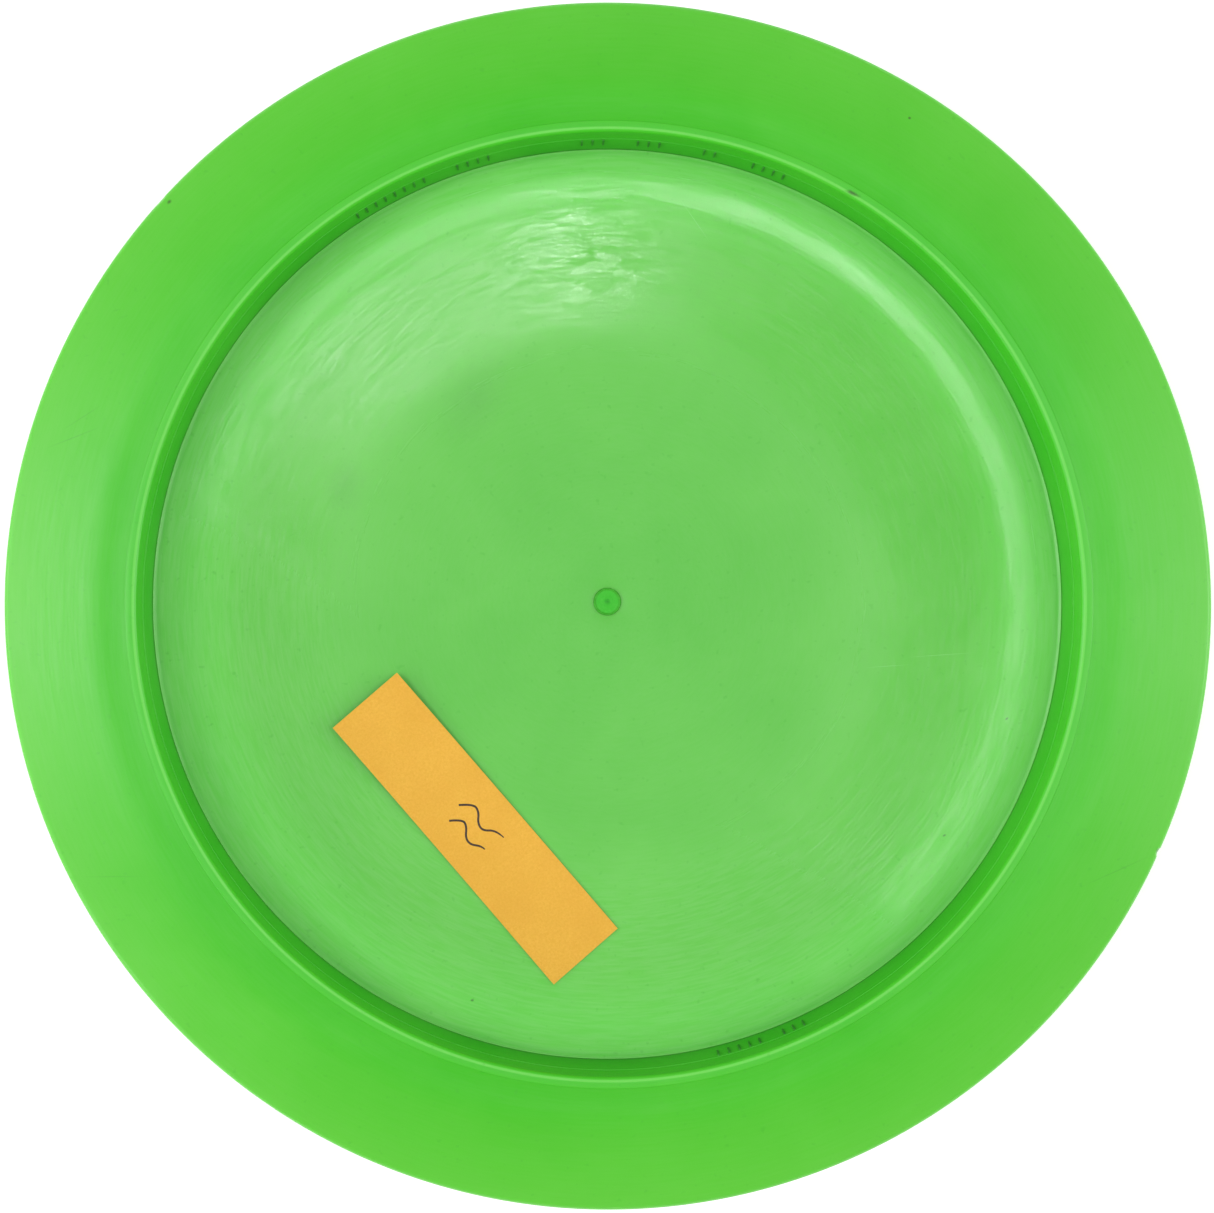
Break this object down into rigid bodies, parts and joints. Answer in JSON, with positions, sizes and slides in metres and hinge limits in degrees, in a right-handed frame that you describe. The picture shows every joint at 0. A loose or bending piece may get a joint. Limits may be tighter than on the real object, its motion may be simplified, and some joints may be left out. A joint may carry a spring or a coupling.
{
  "type": "flying disc",
  "caption": "Flying disc for disc golf: wide sharp wing-shaped rim round a thin dished flight plate, lying open side up with a paper tag stuck in its hollow.",
  "frame": {"origin": "centre of the flat of the flight plate's outer face, which the upturned disc rests on", "axes": "+Z is the spin axis, out of the open underside; +X is towards the right of the picture and +Y towards its top. Turned half round about X, the disc is right side up, as it is thrown"},
  "size_m": [0.211, 0.211, 0.0154],
  "materials": {
    "rim_plastic": "glossy",
    "plate_plastic": "glossy",
    "gate_plastic": "glossy",
    "mark_plastic": "glossy",
    "tag_paper": "matt",
    "adhesive": "satin"
  },
  "bodies": {
    "root": {"rim": "rim_plastic", "flight_plate": "plate_plastic", "gate_stub": "gate_plastic", "wall_marks": "mark_plastic", "paper_tag": "tag_paper", "tag_adhesive": "adhesive"}
  },
  "joints": []
}
